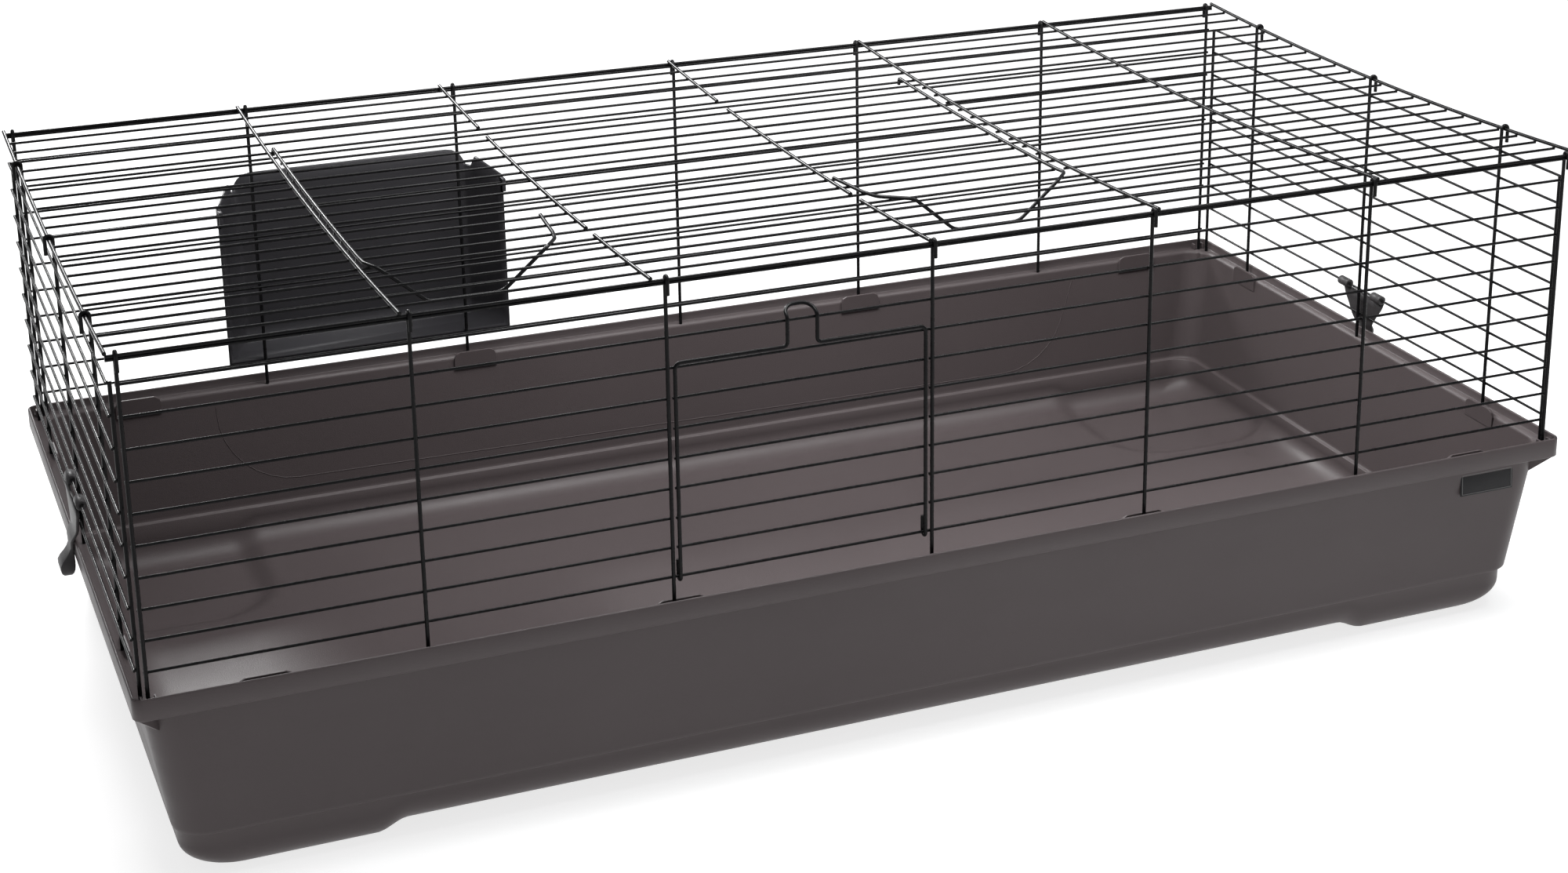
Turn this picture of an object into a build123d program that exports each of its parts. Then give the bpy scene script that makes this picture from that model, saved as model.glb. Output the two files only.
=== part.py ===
"""Wire cage for a rabbit: a drafted plastic tray, a wire top of welded panels that hook together,
a front door, a roof hatch, two side clips and a hay rack. Millimetres, +Z up, +X along the length,
the front is at -Y. Shapes are drawn about the middle of the tray, and every node is moved back by
ORIGIN_Y as it is saved, so the origin is on the floor under the middle of the whole object."""
import math
import os

from build123d import *

# ---------------------------------------------------------------- tray
RIM_LENGTH = 1180.0          # outside of the tray's rim, along X
RIM_DEPTH = 602.0            # outside of the tray's rim, along Y
RIM_TOP = 160.0              # height of the rim above the floor
RIM_CORNER = 8.0             # plan radius of the rim's corners
SKIRT_HEIGHT = 16.5          # the rim's outer edge hangs down this far
LIP_WIDTH = 2.5              # thickness of the rim's outer lip and skirt
LEDGE_DROP = 8.0             # the wire top stands on a ledge this far below the rim's top
WALL = 3.0                   # wall and floor thickness of the tray
BODY_CORNER = 26.0           # plan radius of the body below the rim
WALL_TOP_INSET = (7.0, 8.5)  # wall outside under the ledge, in from the rim, along X and along Y
STEP_HEIGHT = 38.0           # a small step runs round the wall at this height
STEP_INSET = (23.0, 17.6)    # wall outside at the step, in from the rim
STEP_SIZE = 3.5
BOTTOM_RADIUS = (38.0, 24.0) # round between wall and floor, at the ends and along the sides
ROUND_STEPS = 6
FLOOR_HEIGHT = 8.0           # underside of the middle of the tray
FOOT_START = (423.0, 135.0)  # the corner feet begin here and run to the tray's corners
FOOT_SLOPE = (23.0, 46.0)    # run of a foot's inner sides up to the floor and up to the step
FOOT_CORNER = 45.0
TAB_SIZE = (40.0, 2.2, 16.5) # retaining tabs behind the feet of the wires
TAB_TOP = 156.5
TAB_INSET = (11.0, 12.9)     # middle of a tab, in from the rim
TABS_LONG = (-497.0, -191.0, 196.5, 503.0)
TABS_SHORT = (-200.0, 200.0)
GUSSET_DROP = 26.0           # gussets under the rim's corners reach this far down the wall
GUSSET_REACH = 17.5

# ---------------------------------------------------------------- wires
POST_RADIUS = 1.5            # upright and frame wires
RUNG_RADIUS = 1.1            # thin cross wires
EDGE_RADIUS = 1.25           # the doubled wires along the roof's front and back edges
WELD = 0.15                  # welded wires sink into each other by this much
LAYER = POST_RADIUS + RUNG_RADIUS - WELD
PANEL_X = 578.0              # end uprights of the front and back panels
PANEL_Y = 291.0              # plane of the front and back uprights
BAYS = (195.7, 185.2, 208.5, 184.6, 196.7, 185.3)   # gaps between uprights, left to right
RUNG_PITCH = 23.4
RUNG_COUNT = 10
LOWEST_RUNG = 174.5
ROOF_Z = 407.2               # height of the roof's edge wires
FOOT_GAP = 0.2               # the uprights end this far above the ledge

HOOK_RADIUS = EDGE_RADIUS + POST_RADIUS - 0.05
HOOK_TAIL = 11.0             # the free end of a hook hangs down this far
PANEL_HOOK_Y = PANEL_Y + HOOK_RADIUS

# ---------------------------------------------------------------- roof
ROOF_SAG = 8.5               # the roof hangs lower in the middle
ROOF_RUNGS = 24              # cross wires from front to back, both edges included
HATCH_FIRST = 6              # first and last roof rung that belong to the hatch
HATCH_LAST = 17
HATCH_PITCH = 24.9           # the hatch's rungs stand a little closer
RIBS_LEFT = (-585.0, -389.0)
RIBS_RIGHT = (199.4, 396.0, 585.0)
STUB_RIBS = (-209.0, 8.0)    # these ribs are cut where the hatch is
HATCH_SIDES = (-383.0, 187.0)
RIB_LIFT = LAYER             # ribs lie on top of the rungs
TONGUES = ((-383.0, -313.0, -230.0), (187.0, 110.0, 14.0))   # outer side, middle and inner end, along X
TONGUE_GAP = 12.0            # the tongues hang this far in front of the pivot wire
TONGUE_DROP = 30.0
TONGUE_TOP = 63.0            # half widths of a tongue
TONGUE_TIP = 28.0
TONGUE_LEAN = 9.0            # the inner wire runs in by this much towards the pivot wire
TONGUE_RETURN = 2            # the inner wire ends over this hatch rung, counted from the front
TONGUE_BENDS = (12.0, 8.0, 14.0, 14.0, 8.0, 12.0, 12.0)
HATCH_BOWS = (100.0, 50.0, 0.0, -50.0, -100.0)   # the sides follow the sag through these points
SIDE_BEND = 3.0
SNAP_BACK = 4.6              # the snap hook's tail behind the wire it hooks over
SNAP_DROP = 6.5
PIVOT_GAP = 0.3              # between the pivot wire and the wires that turn round it

# ---------------------------------------------------------------- side panels
SIDE_POST_X = RIBS_RIGHT[-1] - 2 * POST_RADIUS + 0.05
SIDE_POSTS = (-200.0, 0.0, 200.0)
SIDE_EDGE_Y = 282.0
SIDE_RUNG_X = SIDE_POST_X + LAYER
LOOP_RADIUS = 2 * POST_RADIUS - 0.05
LOOP_TAIL = 12.0

# ---------------------------------------------------------------- front door
DOOR_TOP_RUNG = 2            # rungs are counted from the top; the door closes against this one
DOOR_GAP = 5.5               # door upright beside panel upright
HINGE_PLAY = 0.1
DOOR_REACH = RUNG_RADIUS + HINGE_PLAY + POST_RADIUS  # hinge wire centre to door wire centre
DOOR_TAIL = 12.0
HANDLE_WIDTH = 23.5
HANDLE_RISE = 28.5           # top of the handle above the door's top bar
HANDLE_LEAN = 10.7           # it leans back over the rung above the door
DOOR_BEND = 5.0

# ---------------------------------------------------------------- clips
CLIP_Y = 0.0
CLIP_RUNG = 8
CLIP_THICK = 2.6
CLIP_EYE_RADIUS = 4.2
CLIP_EYE_SPAN = 54.0         # between the two eyes
CLIP_EYE_WIDTH = 15.0
CLIP_WAIST = 27.0
CLIP_TAB_WIDTH = 21.0
CLIP_SLOT = (4.0, 7.0)       # a hole below each eye, width and height
CLIP_SLOT_Y = 23.0
CLIP_SLOT_DROP = 9.0
CLIP_GAP = 0.7               # clearance to the rim and to the lowest side wire
CLIP_TAB_OUT = 12.5
CLIP_BOTTOM = 129.0

# ---------------------------------------------------------------- hay rack
RACK_MIDDLE = -284.5
RACK_MOUTH = 259.0           # width at the back panel
RACK_BACK = 215.0            # width of its back wall
RACK_FRONT = PANEL_Y + POST_RADIUS + 1.2
RACK_DEPTH = 50.0
RACK_BOTTOM = 173.0
RACK_SHOULDER = 321.0        # height of its sides
RACK_TOP = 336.0             # height of its back wall
RACK_WALL = 2.6
RACK_CORNER = 18.0
RACK_EAR = 3.2
RACK_EAR_TOP = 319.0
RACK_RUNG = 3

# ---------------------------------------------------------------- label
LABEL_SIZE = (52.0, 1.2, 20.0)
LABEL_X = 523.4
LABEL_Z = 128.5

ORIGIN_Y = (RACK_FRONT + RACK_DEPTH - RIM_DEPTH / 2) / 2
PANEL_UPRIGHTS = [-PANEL_X + sum(BAYS[:i]) for i in range(len(BAYS) + 1)]
LEDGE = RIM_TOP - LEDGE_DROP
PANEL_RUNG_Y = PANEL_Y - LAYER
ROOF_HALF = PANEL_Y + HOOK_RADIUS
ROOF_PITCH = 2 * ROOF_HALF / (ROOF_RUNGS - 1)


# ---------------------------------------------------------------- helpers
def rung_z(index):
    """Height of a panel rung, counted from the top."""
    return LOWEST_RUNG + (RUNG_COUNT - 1 - index) * RUNG_PITCH


def roof_z(y):
    """Height of the roof's rung layer, which sags between its front and back edges."""
    return ROOF_Z - ROOF_SAG * (1 - (y / ROOF_HALF) ** 2)


def rod(start, end, radius):
    """A straight round wire."""
    start, end = Vector(*start), Vector(*end)
    along = end - start
    return Solid.make_cylinder(radius, along.length, Plane(origin=start, z_dir=along))


def swept(path, radius):
    """A round wire along a path."""
    section = Plane(origin=path @ 0, z_dir=path % 0) * Circle(radius)
    return sweep(section, path=path).solid()


def bent(points, bend, radius):
    """A round wire along straight runs joined by tangent arcs."""
    return swept(FilletPolyline(*points, radius=bend), radius)


def save(name, solids):
    """Write one node: a single solid or a group of separate ones."""
    solids = list(solids) if isinstance(solids, (list, tuple)) else [solids]
    solids = [Pos(0, -ORIGIN_Y, 0) * solid for solid in solids]
    shape = solids[0] if len(solids) == 1 else Compound(children=solids)
    shape.label = name
    export_step(shape, f"parts/{name}.step")
    return shape


def outline(inset, z, corner):
    """The rim's outline moved in by inset (along X, along Y), as a face at height z."""
    return Pos(0, 0, z) * RectangleRounded(RIM_LENGTH - 2 * inset[0], RIM_DEPTH - 2 * inset[1], corner)


def ring(inset, z_low, z_high, corner):
    """A block with the rim's outline, moved in by the same inset on every side."""
    return extrude(outline((inset, inset), z_low, corner), z_high - z_low)


# ---------------------------------------------------------------- tray
def wall_inset(z):
    """Inset of the wall's outside above the step, along X and along Y."""
    run = (z - STEP_HEIGHT) / (LEDGE - WALL - STEP_HEIGHT)
    return [low + (high - low) * run for low, high in zip(STEP_INSET, WALL_TOP_INSET)]


def bowl(offset, top, floor):
    """The tray's body down to a floor height; offset moves every face in by the wall's thickness."""
    step_z = STEP_HEIGHT + offset
    corner = BODY_CORNER - offset
    upper = loft([
        outline([i + offset for i in wall_inset(step_z)], step_z, corner),
        outline([i + offset for i in wall_inset(top)], top, corner),
    ], ruled=True)
    start = [i + STEP_SIZE + offset for i in STEP_INSET]
    radii = [radius - offset for radius in BOTTOM_RADIUS]
    sections = [outline(start, step_z, corner)]
    for step in range(ROUND_STEPS + 1):
        angle = math.radians(90 * step / ROUND_STEPS)
        inset = [s + r * (1 - math.cos(angle)) for s, r in zip(start, radii)]
        z = floor + offset + radii[1] * (1 - math.sin(angle))
        sections.append(outline(inset, z, corner))
    return upper + loft(sections[::-1], ruled=True)


def foot_region(side_x, side_y, offset):
    """The corner of the tray over one foot, as a block with sloping inner sides."""
    heights = (offset - 0.001, FLOOR_HEIGHT + offset, STEP_HEIGHT + offset)
    sections = []
    for spread, z in zip((0.0, *FOOT_SLOPE), heights):
        low_x, low_y = [start + offset - spread for start in FOOT_START]
        high_x, high_y = RIM_LENGTH / 2 + 60, RIM_DEPTH / 2 + 60
        middle = Pos(side_x * (low_x + high_x) / 2, side_y * (low_y + high_y) / 2, z)
        sections.append(middle * RectangleRounded(high_x - low_x, high_y - low_y, FOOT_CORNER))
    return loft(sections, ruled=True)


def footed_bowl(offset, top):
    """The body with a foot at each corner."""
    body = bowl(offset, top, FLOOR_HEIGHT)
    deep = bowl(offset, top, 0)
    for side_x in (-1, 1):
        for side_y in (-1, 1):
            body += deep & foot_region(side_x, side_y, offset)
    return body


def make_tray():
    ledge_bottom = LEDGE - WALL
    rim = ring(0, RIM_TOP - SKIRT_HEIGHT, RIM_TOP, RIM_CORNER)
    rim -= ring(LIP_WIDTH, RIM_TOP - SKIRT_HEIGHT, ledge_bottom, RIM_CORNER - LIP_WIDTH)
    rim -= ring(LIP_WIDTH, LEDGE, RIM_TOP, RIM_CORNER - LIP_WIDTH)
    tray = rim + footed_bowl(0, LEDGE - 1)
    for corner_x in (-1, 1):
        for corner_y in (-1, 1):
            tray += gusset(corner_x, corner_y)
    tray -= footed_bowl(WALL, LEDGE + 1)
    for x in TABS_LONG:
        for side in (-1, 1):
            y = side * (RIM_DEPTH / 2 - TAB_INSET[1])
            tray += Pos(x, y, TAB_TOP - TAB_SIZE[2] / 2) * tab()
    for y in TABS_SHORT:
        for side in (-1, 1):
            x = side * (RIM_LENGTH / 2 - TAB_INSET[0])
            tray += Pos(x, y, TAB_TOP - TAB_SIZE[2] / 2) * Rot(0, 0, 90) * tab()
    return tray.solids().sort_by(SortBy.VOLUME)[-1]


def tab():
    """A retaining tab with its upper corners cut off."""
    width, thick, height = TAB_SIZE
    block = Box(width, thick, height)
    top_edges = block.edges().filter_by(Axis.Y).group_by(Axis.Z)[-1]
    return chamfer(top_edges, 6.0)


def gusset(side_x, side_y):
    """A triangular rib under the rim's corner."""
    reach = GUSSET_REACH
    profile = Polyline((-4, LEDGE - 1), (-4, LEDGE - GUSSET_DROP), (reach, RIM_TOP - SKIRT_HEIGHT),
                       (reach, LEDGE - 1), (-4, LEDGE - 1))
    rib = extrude(Plane.XZ * make_face(profile), WALL / 2, both=True)
    diagonal = BODY_CORNER * (1 - math.sqrt(0.5))
    x = RIM_LENGTH / 2 - WALL_TOP_INSET[0] - diagonal
    y = RIM_DEPTH / 2 - WALL_TOP_INSET[1] - diagonal
    turn = math.degrees(math.atan2(side_y, side_x))
    return Pos(side_x * x, side_y * y, 0) * Rot(0, 0, turn) * rib


# ---------------------------------------------------------------- front and back panels
def panel_upright(x, side):
    """An upright with its hook over the roof's edge wires; side is -1 at the front, 1 at the back."""
    foot = LEDGE + FOOT_GAP
    shank = Line((x, side * PANEL_Y, foot), (x, side * PANEL_Y, ROOF_Z))
    crown = ThreePointArc(
        (x, side * PANEL_Y, ROOF_Z),
        (x, side * PANEL_HOOK_Y, ROOF_Z + HOOK_RADIUS),
        (x, side * (PANEL_Y + 2 * HOOK_RADIUS), ROOF_Z))
    end_y = side * (PANEL_Y + 2 * HOOK_RADIUS)
    tail = Line((x, end_y, ROOF_Z), (x, end_y, ROOF_Z - HOOK_TAIL))
    return swept(Wire([shank, crown, tail]), POST_RADIUS)


def panel_rung(index, x_from, x_to, side):
    z = rung_z(index)
    y = side * PANEL_RUNG_Y
    return rod((x_from, y, z), (x_to, y, z), RUNG_RADIUS)


def front_panel():
    end = PANEL_X + POST_RADIUS
    bay_left, bay_right = PANEL_UPRIGHTS[2] + POST_RADIUS, PANEL_UPRIGHTS[3] - POST_RADIUS
    low_rungs = range(DOOR_TOP_RUNG + 1, RUNG_COUNT - 1)
    save("front_uprights_left", [panel_upright(x, -1) for x in PANEL_UPRIGHTS[:3]])
    save("front_uprights_right", [panel_upright(x, -1) for x in PANEL_UPRIGHTS[3:]])
    save("front_rungs_left", [panel_rung(i, -end, bay_left, -1) for i in low_rungs])
    save("front_rungs_right", [panel_rung(i, bay_right, end, -1) for i in low_rungs])
    save("front_top_rungs", [panel_rung(i, -end, end, -1) for i in range(DOOR_TOP_RUNG + 1)])
    save("front_hinge_rung", panel_rung(RUNG_COUNT - 1, -end, end, -1))


def back_panel():
    end = PANEL_X + POST_RADIUS
    save("back_uprights", [panel_upright(x, 1) for x in PANEL_UPRIGHTS])
    save("back_rungs", [panel_rung(i, -end, end, 1) for i in range(RUNG_COUNT)])


# ---------------------------------------------------------------- side panels
def side_upright(y, side):
    """An upright whose top closes into an eye round the roof's end rib."""
    x = side * SIDE_POST_X
    far = side * (SIDE_POST_X + 2 * LOOP_RADIUS)
    top = roof_z(y) + RIB_LIFT
    foot = LEDGE + FOOT_GAP
    shank = Line((x, y, foot), (x, y, top))
    crown = ThreePointArc((x, y, top), (side * (SIDE_POST_X + LOOP_RADIUS), y, top + LOOP_RADIUS),
                          (far, y, top))
    tail = Line((far, y, top), (far, y, top - LOOP_TAIL))
    return swept(Wire([shank, crown, tail]), POST_RADIUS)


def side_panel(name, side):
    x = side * SIDE_POST_X
    posts = [side_upright(y, side) for y in SIDE_POSTS]
    for y in (-SIDE_EDGE_Y, SIDE_EDGE_Y):
        posts.append(rod((x, y, LEDGE + FOOT_GAP), (x, y, rung_z(0) + RUNG_RADIUS), POST_RADIUS))
    save(f"{name}_uprights", posts)
    end = SIDE_EDGE_Y + POST_RADIUS
    rungs = []
    for index in range(RUNG_COUNT):
        z = rung_z(index)
        rungs.append(rod((side * SIDE_RUNG_X, -end, z), (side * SIDE_RUNG_X, end, z), RUNG_RADIUS))
    save(f"{name}_rungs", rungs)


# ---------------------------------------------------------------- roof
def roof_y(index):
    return -ROOF_HALF + index * ROOF_PITCH


def roof_rung(index, x_from, x_to):
    y = roof_y(index)
    radius = EDGE_RADIUS if index in (0, ROOF_RUNGS - 1) else RUNG_RADIUS
    return rod((x_from, y, roof_z(y)), (x_to, y, roof_z(y)), radius)


def rib(x, y_from, y_to):
    """A rib across the roof, bowed with the sag."""
    middle = (y_from + y_to) / 2
    ends = [(x, y, roof_z(y) + RIB_LIFT) for y in (y_from, middle, y_to)]
    return swept(ThreePointArc(*ends), POST_RADIUS)


def roof():
    left, right = RIBS_LEFT[0], RIBS_RIGHT[-1]
    end = ROOF_HALF + EDGE_RADIUS
    over = POST_RADIUS + 1.0
    hatch_rungs = range(HATCH_FIRST, HATCH_LAST + 1)
    save("roof_ribs_left", [rib(x, -end, end) for x in RIBS_LEFT])
    save("roof_ribs_right", [rib(x, -end, end) for x in RIBS_RIGHT])
    front_end = roof_y(HATCH_FIRST - 1) + over
    back_end = roof_y(HATCH_LAST + 1) - over
    save("roof_stub_ribs_front", [rib(x, -end, front_end) for x in STUB_RIBS])
    save("roof_stub_ribs_back", [rib(x, back_end, end) for x in STUB_RIBS])
    save("roof_rungs_front", [roof_rung(i, left, right) for i in range(HATCH_FIRST)])
    save("roof_rungs_back", [roof_rung(i, left, right) for i in range(HATCH_LAST + 1, ROOF_RUNGS)])
    save("roof_rungs_left", [roof_rung(i, left, RIBS_LEFT[1] + over) for i in hatch_rungs])
    save("roof_rungs_right", [roof_rung(i, RIBS_RIGHT[0] - over, right) for i in hatch_rungs])
    low = ROOF_Z - 2 * EDGE_RADIUS + WELD
    edges = [rod((left, y, low), (right, y, low), EDGE_RADIUS) for y in (-ROOF_HALF, ROOF_HALF)]
    save("roof_edge_wires", edges)


def hatch_y(index):
    return roof_y(HATCH_FIRST) + (index - HATCH_FIRST) * HATCH_PITCH


def hatch_side(x_out, middle, x_in):
    """One side wire of the hatch and its bends: a snap hook over the roof wire behind it, the
    straight side over the pivot wire, the tongue that hangs in front of that wire, and its return."""
    y_snap = roof_y(HATCH_LAST + 1)
    z_snap = roof_z(y_snap) + RUNG_RADIUS + POST_RADIUS + PIVOT_GAP
    y_pivot = roof_y(HATCH_FIRST - 1)
    z_pivot = roof_z(y_pivot) + RUNG_RADIUS + POST_RADIUS + PIVOT_GAP
    y_front, y_back = hatch_y(HATCH_FIRST), hatch_y(HATCH_LAST)
    y_return = hatch_y(HATCH_FIRST + TONGUE_RETURN)
    y_tongue = y_pivot - TONGUE_GAP
    z_tip = z_pivot - TONGUE_DROP
    inward = 1 if x_in > x_out else -1
    points = [(x_out, y_snap + SNAP_BACK, z_snap - SNAP_DROP), (x_out, y_snap + SNAP_BACK, z_snap)]
    bends = [3.0]
    for y in (y_back + 6.0, *HATCH_BOWS, y_front - 2.0):
        points.append((x_out, y, roof_z(y) + LAYER))
        bends.append(SIDE_BEND)
    points += [
        (x_out, y_pivot + 5.0, z_pivot),
        (middle - inward * TONGUE_TOP, y_tongue, z_pivot),
        (middle - inward * TONGUE_TIP, y_tongue, z_tip),
        (middle + inward * TONGUE_TIP, y_tongue, z_tip),
        (middle + inward * TONGUE_TOP, y_tongue, z_pivot),
        (x_in - inward * TONGUE_LEAN, y_pivot + 5.0, z_pivot),
        (x_in - inward * 5.0, y_front - 2.0, roof_z(y_front) + LAYER),
        (x_in, y_return - 2.0, roof_z(y_return) + LAYER),
    ]
    return points, [*bends, *TONGUE_BENDS]


def hatch():
    for name, places in zip(("left", "right"), TONGUES):
        points, bends = hatch_side(*places)
        save(f"hatch_side_{name}", bent(points, bends, POST_RADIUS))
    left, right = HATCH_SIDES
    over = POST_RADIUS
    rungs = []
    for index in range(HATCH_FIRST, HATCH_LAST + 1):
        y = hatch_y(index)
        rungs.append(rod((left - over, y, roof_z(y)), (right + over, y, roof_z(y)), RUNG_RADIUS))
    save("hatch_rungs", rungs)
    front, back = hatch_y(HATCH_FIRST) - 2.5, hatch_y(HATCH_LAST) + 2.5
    save("hatch_ribs", [rib(x, front, back) for x in STUB_RIBS])


# ---------------------------------------------------------------- front door
def front_door():
    """The door's frame is one wire: hinge hook, upright, top bar with a raised handle, and back."""
    left = PANEL_UPRIGHTS[2] + DOOR_GAP
    right = PANEL_UPRIGHTS[3] - DOOR_GAP
    middle = (left + right) / 2
    axis_z = rung_z(RUNG_COUNT - 1)
    front_y = -PANEL_RUNG_Y - DOOR_REACH
    back_y = -PANEL_RUNG_Y + DOOR_REACH
    bar = rung_z(DOOR_TOP_RUNG) + 4.0
    over = rung_z(DOOR_TOP_RUNG - 1) + RUNG_RADIUS + POST_RADIUS + 0.6
    half = HANDLE_WIDTH / 2
    crown_y, crown_z = front_y + HANDLE_LEAN, bar + HANDLE_RISE
    crown = [(middle - half, front_y, over), (middle - half + 1, crown_y, crown_z),
             (middle + half - 1, crown_y, crown_z), (middle + half, front_y, over)]
    points = [(left, front_y, axis_z), (left, front_y, bar), (middle - half, front_y, bar),
              *crown, (middle + half, front_y, bar), (right, front_y, bar), (right, front_y, axis_z)]
    frame = FilletPolyline(*points, radius=[DOOR_BEND, 3.5, 4, 9, 9, 4, 3.5, DOOR_BEND])
    pieces = [frame]
    for x in (left, right):
        arc = ThreePointArc((x, front_y, axis_z), (x, -PANEL_RUNG_Y, axis_z - DOOR_REACH), (x, back_y, axis_z))
        tail = Line((x, back_y, axis_z), (x, back_y, axis_z + DOOR_TAIL))
        pieces.append(arc)
        pieces.append(tail)
    left_hook = Wire([pieces[1], pieces[2]])
    right_hook = Wire([pieces[3], pieces[4]])
    path = Wire(left_hook.edges() + frame.edges() + right_hook.edges())
    start = Plane(origin=(left, back_y, axis_z + DOOR_TAIL), z_dir=(0, 0, -1)) * Circle(POST_RADIUS)
    save("door_frame", sweep(start, path=path).solid())
    rungs = []
    for index in range(DOOR_TOP_RUNG + 1, RUNG_COUNT - 1):
        z = rung_z(index)
        y = -PANEL_RUNG_Y - DOOR_REACH + LAYER
        rungs.append(rod((left - POST_RADIUS, y, z), (right + POST_RADIUS, y, z), RUNG_RADIUS))
    save("door_rungs", rungs)


# ---------------------------------------------------------------- clips
def make_clip():
    """The right-hand clip: two eyes on a side rung, a waisted plate and a thumb tab outside the rim."""
    axis_x, axis_z = SIDE_RUNG_X, rung_z(CLIP_RUNG)
    inner = SIDE_RUNG_X + RUNG_RADIUS + CLIP_GAP
    outer = inner + CLIP_THICK
    rim_x = RIM_LENGTH / 2 + CLIP_GAP
    profile = Polyline(
        (inner, axis_z + 1), (inner, RIM_TOP + 8), (rim_x, RIM_TOP + 1.5), (rim_x, CLIP_BOTTOM + 3),
        (rim_x + 2, CLIP_BOTTOM), (rim_x + CLIP_TAB_OUT - 3, CLIP_BOTTOM),
        (rim_x + CLIP_TAB_OUT, CLIP_BOTTOM + 5), (rim_x + CLIP_TAB_OUT - 2, CLIP_BOTTOM + 13),
        (rim_x + CLIP_THICK, CLIP_BOTTOM + 17), (rim_x + CLIP_THICK, RIM_TOP + 2.5),
        (outer, RIM_TOP + 9), (outer, axis_z + 1), (inner, axis_z + 1))
    span = CLIP_EYE_SPAN + CLIP_EYE_WIDTH
    body = extrude(Plane.XZ * make_face(profile), span / 2 + 2, both=True)
    half, waist, thumb = span / 2, CLIP_WAIST / 2, CLIP_TAB_WIDTH / 2
    notch = CLIP_EYE_SPAN / 2 - CLIP_EYE_WIDTH / 2
    right = [(half, axis_z + 1), (half, axis_z - 6), (waist, RIM_TOP + 3), (thumb - 1, RIM_TOP - 4),
             (thumb, CLIP_BOTTOM + 15), (thumb, CLIP_BOTTOM + 8), (thumb - 5, CLIP_BOTTOM - 1)]
    left = [(-y, z) for y, z in reversed(right)]
    top = [(-notch, axis_z + 1), (-notch + 3, axis_z - 4), (notch - 3, axis_z - 4), (notch, axis_z + 1)]
    outline_points = right + left + top
    border = Polyline(*outline_points, outline_points[0])
    mask = extrude(Plane.YZ * make_face(border), RIM_LENGTH)
    body = body & mask
    bore = RUNG_RADIUS + HINGE_PLAY
    for side in (-1, 1):
        middle = side * CLIP_EYE_SPAN / 2
        start = (axis_x, middle - CLIP_EYE_WIDTH / 2, axis_z)
        finish = (axis_x, middle + CLIP_EYE_WIDTH / 2, axis_z)
        body += rod(start, finish, CLIP_EYE_RADIUS)
        slot = Box(6 * CLIP_THICK, *CLIP_SLOT)
        body -= Pos(axis_x, side * CLIP_SLOT_Y, axis_z - CLIP_SLOT_DROP) * fillet(slot.edges().filter_by(Axis.X), 1.5)
    body -= rod((axis_x, -span, axis_z), (axis_x, span, axis_z), bore)
    return Pos(0, CLIP_Y, 0) * body.solids().sort_by(SortBy.VOLUME)[-1]


def clips():
    clip = make_clip()
    save("clip_right", clip)
    save("clip_left", mirror(clip, about=Plane.YZ).solid())


# ---------------------------------------------------------------- hay rack
def rack_block(inset, bottom, top_front, top_back, y_front, y_back):
    """A block that narrows from the mouth to the back wall, moved in by inset at both sides."""
    taper = (RACK_MOUTH - RACK_BACK) / RACK_DEPTH
    faces = []
    for y, top in ((y_front, top_front), (y_back, top_back)):
        width = RACK_MOUTH - taper * (y - RACK_FRONT) - 2 * inset
        face = Plane(origin=(RACK_MIDDLE, y, (bottom + top) / 2), x_dir=(1, 0, 0), z_dir=(0, -1, 0))
        faces.append(face * Rectangle(width, top - bottom))
    return loft(faces, ruled=True)


def rack_ear(x):
    """A hook over a rung of the back panel."""
    rung = rung_z(RACK_RUNG)
    over = rung + RUNG_RADIUS + 0.3
    reach = PANEL_RUNG_Y - RUNG_RADIUS - 0.8
    tip = reach - RACK_WALL
    profile = Polyline(
        (RACK_FRONT + 6, rung - 14), (RACK_FRONT + 6, RACK_EAR_TOP), (tip, RACK_EAR_TOP),
        (tip, rung - 8), (reach, rung - 8), (reach, over), (RACK_FRONT, over),
        (RACK_FRONT, rung - 14), (RACK_FRONT + 6, rung - 14))
    return Pos(x, 0, 0) * extrude(Plane.YZ * make_face(profile), RACK_EAR / 2, both=True)


def hay_rack():
    """A tapered box outside the back panel, open at the top and towards the cage."""
    back = RACK_FRONT + RACK_DEPTH
    outer = rack_block(0, RACK_BOTTOM, RACK_SHOULDER, RACK_TOP, RACK_FRONT, back)
    rounded = [edge for edge in outer.faces().sort_by(Axis.Y)[-1].edges()]
    outer = fillet(rounded, RACK_CORNER / 2)
    inner = rack_block(RACK_WALL, RACK_BOTTOM + RACK_WALL, RACK_TOP + 30, RACK_TOP + 30,
                       RACK_FRONT - 5, back - RACK_WALL)
    box = outer - inner
    for side in (-1, 1):
        box += rack_ear(RACK_MIDDLE + side * (RACK_MOUTH - RACK_EAR) / 2)
    save("hay_rack", box.solids().sort_by(SortBy.VOLUME)[-1])


# ---------------------------------------------------------------- label
def label_plate():
    """A blank name plate on the front wall, leaning with the wall."""
    run = STEP_INSET[1] - WALL_TOP_INSET[1]
    lean = math.degrees(math.atan(run / (LEDGE - WALL - STEP_HEIGHT)))
    y = -RIM_DEPTH / 2 + wall_inset(LABEL_Z)[1] - LABEL_SIZE[1] / 2 + 0.02
    save("label_plate", Pos(LABEL_X, y, LABEL_Z) * Rot(lean, 0, 0) * Box(*LABEL_SIZE))


def main():
    os.makedirs("parts", exist_ok=True)
    save("tray", make_tray())
    label_plate()
    front_panel()
    back_panel()
    side_panel("left", -1)
    side_panel("right", 1)
    roof()
    hatch()
    front_door()
    clips()
    hay_rack()


main()
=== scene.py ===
"""Looks for the wire cage: smooth coated wires with weld beads, a moulded tray, clips, a hay rack,
their materials, and a studio with the camera.

Sizes of the object are written in millimetres about the middle of the tray, as they are in the part's
source, and at() turns them into the frame's metres. The studio's places are in metres."""
import math

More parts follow.
